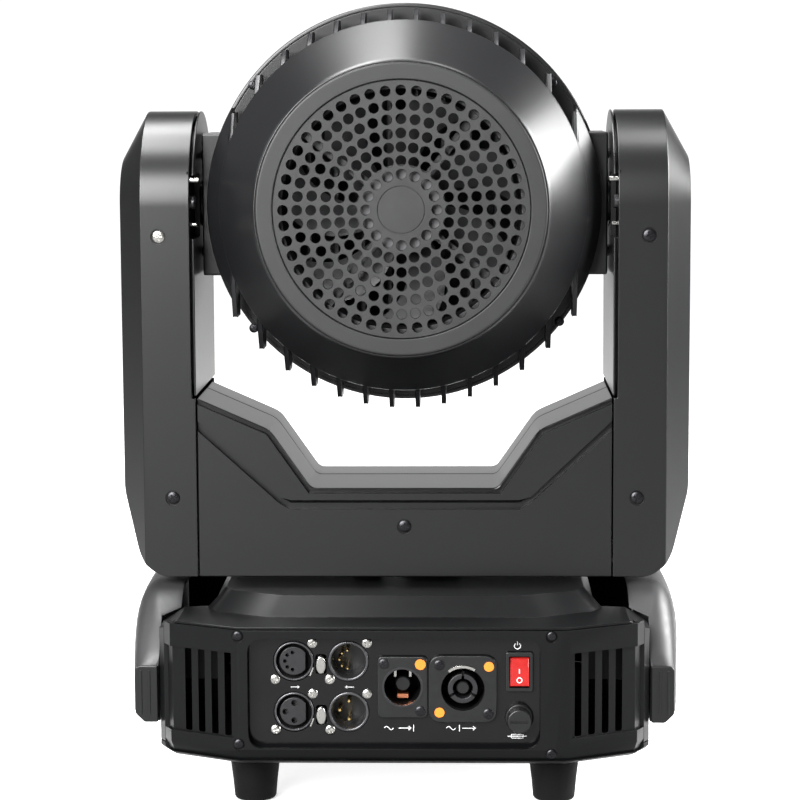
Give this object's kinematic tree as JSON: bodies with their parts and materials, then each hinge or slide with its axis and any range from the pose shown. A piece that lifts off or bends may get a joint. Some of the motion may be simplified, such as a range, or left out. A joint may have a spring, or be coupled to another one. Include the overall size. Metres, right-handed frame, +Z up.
{
  "type": "moving head light",
  "caption": "Moving head wash light: a base with rear connectors and side grips, a U-shaped yoke that pans, and a round fan-cooled head that tilts, with a sliding zoom lens.",
  "frame": {"origin": "on the floor under the pan axis, the centre of the bottom of the bounding box", "axes": "+Z up along the pan axis, +X along the tilt axis, -Y the back with the connector panel and fan grille, +Y the front with the lens"},
  "size_m": [0.307, 0.229, 0.4188],
  "materials": {
    "casing": "fine-grained satin black moulded plastic",
    "shroud": "smooth satin black plastic",
    "grille": "grained matte black plastic",
    "rubber": "matte black rubber",
    "panel": "glossy black sheet",
    "connector": "satin black plastic",
    "red_plastic": "translucent red plastic",
    "silver": "plated metal",
    "steel": "plain steel",
    "aluminium": "milled aluminium",
    "fan_plastic": "black plastic",
    "board": "white solder mask",
    "lens": "clear moulded lenses",
    "glass": "clear flat window"
  },
  "bodies": {
    "base": {"base_tray": "casing", "base_top_cover": "casing", "rear_bezel": "casing", "side_handle_left": "casing", "side_handle_right": "casing", "foot_rear_left": "rubber", "foot_rear_right": "rubber", "foot_front_left": "rubber", "foot_front_right": "rubber", "connector_panel": "panel", "dmx_out_5_pin": "connector", "dmx_out_3_pin": "connector", "dmx_in_5_pin": "connector", "dmx_in_3_pin": "connector", "power_inlet": "connector", "power_outlet": "connector", "switch_frame": "connector", "fuse_holder": "connector", "display_panel": "panel", "power_supply": "aluminium", "pan_motor": "fan_plastic", "pan_belt": "rubber", "pan_bearing": "steel"},
    "yoke": {"crossbar_rear_cover": "casing", "crossbar_front_cover": "casing", "arm_cover_left": "casing", "arm_cover_right": "casing", "arm_inner_cover_left": "casing", "arm_inner_cover_right": "casing", "yoke_frame": "steel", "pan_shaft_and_pulley": "aluminium", "tilt_motor": "fan_plastic", "tilt_belt": "rubber", "tilt_bearing_left": "steel", "tilt_bearing_right": "steel"},
    "head": {"head_ring": "casing", "trunnion_left": "steel", "trunnion_right": "steel", "tilt_pulley": "aluminium", "rear_shroud": "shroud", "rear_grille": "grille", "heat_sink": "aluminium", "fan_frame": "fan_plastic", "led_board": "board", "zoom_motor": "steel", "front_housing": "casing", "front_window": "glass"},
    "fan": {"fan_rotor": "fan_plastic"},
    "zoom": {"zoom_carriage": "lens"},
    "zoom_screw": {"zoom_screw": "silver"},
    "pan_motor_pulley": {"pan_motor_pulley": "aluminium"},
    "tilt_motor_pulley": {"tilt_motor_pulley": "aluminium"},
    "switch_rocker": {"switch_rocker": "red_plastic"},
    "latch_upper": {"latch_tab_upper": "silver"},
    "latch_lower": {"latch_tab_lower": "silver"},
    "fuse_cap": {"fuse_cap": "connector"},
    "button_menu": {"button_menu": "connector"},
    "button_up": {"button_up": "connector"},
    "button_enter": {"button_enter": "connector"},
    "button_down": {"button_down": "connector"}
  },
  "joints": [
    {"name": "pan", "type": "hinge", "parent": "base", "child": "yoke", "pos_m": [0, 0, 0.1125], "axis": [0, 0, 1], "range_deg": [-270, 270]},
    {"name": "tilt", "type": "hinge", "parent": "yoke", "child": "head", "pos_m": [0, 0, 0.311], "axis": [1, 0, 0], "range_deg": [-135, 135]},
    {"name": "fan_spin", "type": "hinge", "parent": "head", "child": "fan", "pos_m": [0, -0.072, 0.311], "axis": [0, 1, 0], "continuous": true},
    {"name": "zoom", "type": "slide", "parent": "head", "child": "zoom", "axis": [0, 1, 0], "range_m": [0, 0.02]},
    {"name": "zoom_screw_spin", "type": "hinge", "parent": "head", "child": "zoom_screw", "pos_m": [0, 0.0138, 0.2285], "axis": [0, 1, 0], "range_deg": [0, 900]},
    {"name": "pan_motor_spin", "type": "hinge", "parent": "base", "child": "pan_motor_pulley", "pos_m": [-0.072, 0, 0.066], "axis": [0, 0, 1], "range_deg": [-1026, 1026]},
    {"name": "tilt_motor_spin", "type": "hinge", "parent": "yoke", "child": "tilt_motor_pulley", "pos_m": [0.1166, 0, 0.232], "axis": [1, 0, 0], "range_deg": [-472.5, 472.5]},
    {"name": "switch_rock", "type": "hinge", "parent": "base", "child": "switch_rocker", "pos_m": [0.0603, -0.1035, 0.0735], "axis": [1, 0, 0], "range_deg": [0, 20]},
    {"name": "fuse_cap_turn", "type": "hinge", "parent": "base", "child": "fuse_cap", "pos_m": [0.0602, -0.107, 0.0493], "axis": [0, 1, 0], "range_deg": [0, 90]},
    {"name": "latch_push_upper", "type": "slide", "parent": "base", "child": "latch_upper", "axis": [0, 1, 0], "range_m": [0, 0.0015], "stiffness_N_per_m": 1000},
    {"name": "latch_push_lower", "type": "slide", "parent": "base", "child": "latch_lower", "axis": [0, 1, 0], "range_m": [0, 0.0015], "stiffness_N_per_m": 1000},
    {"name": "button_push_menu", "type": "slide", "parent": "base", "child": "button_menu", "axis": [0, -1, 0], "range_m": [0, 0.0012], "stiffness_N_per_m": 1000},
    {"name": "button_push_up", "type": "slide", "parent": "base", "child": "button_up", "axis": [0, -1, 0], "range_m": [0, 0.0012], "stiffness_N_per_m": 1000},
    {"name": "button_push_enter", "type": "slide", "parent": "base", "child": "button_enter", "axis": [0, -1, 0], "range_m": [0, 0.0012], "stiffness_N_per_m": 1000},
    {"name": "button_push_down", "type": "slide", "parent": "base", "child": "button_down", "axis": [0, -1, 0], "range_m": [0, 0.0012], "stiffness_N_per_m": 1000}
  ],
  "couplings": [
    {"joint": "pan_motor_spin", "follows": "pan", "ratio": 3.8},
    {"joint": "tilt_motor_spin", "follows": "tilt", "ratio": 3.5},
    {"joint": "zoom_screw_spin", "follows": "zoom", "rad_per_m": 785.4}
  ]
}
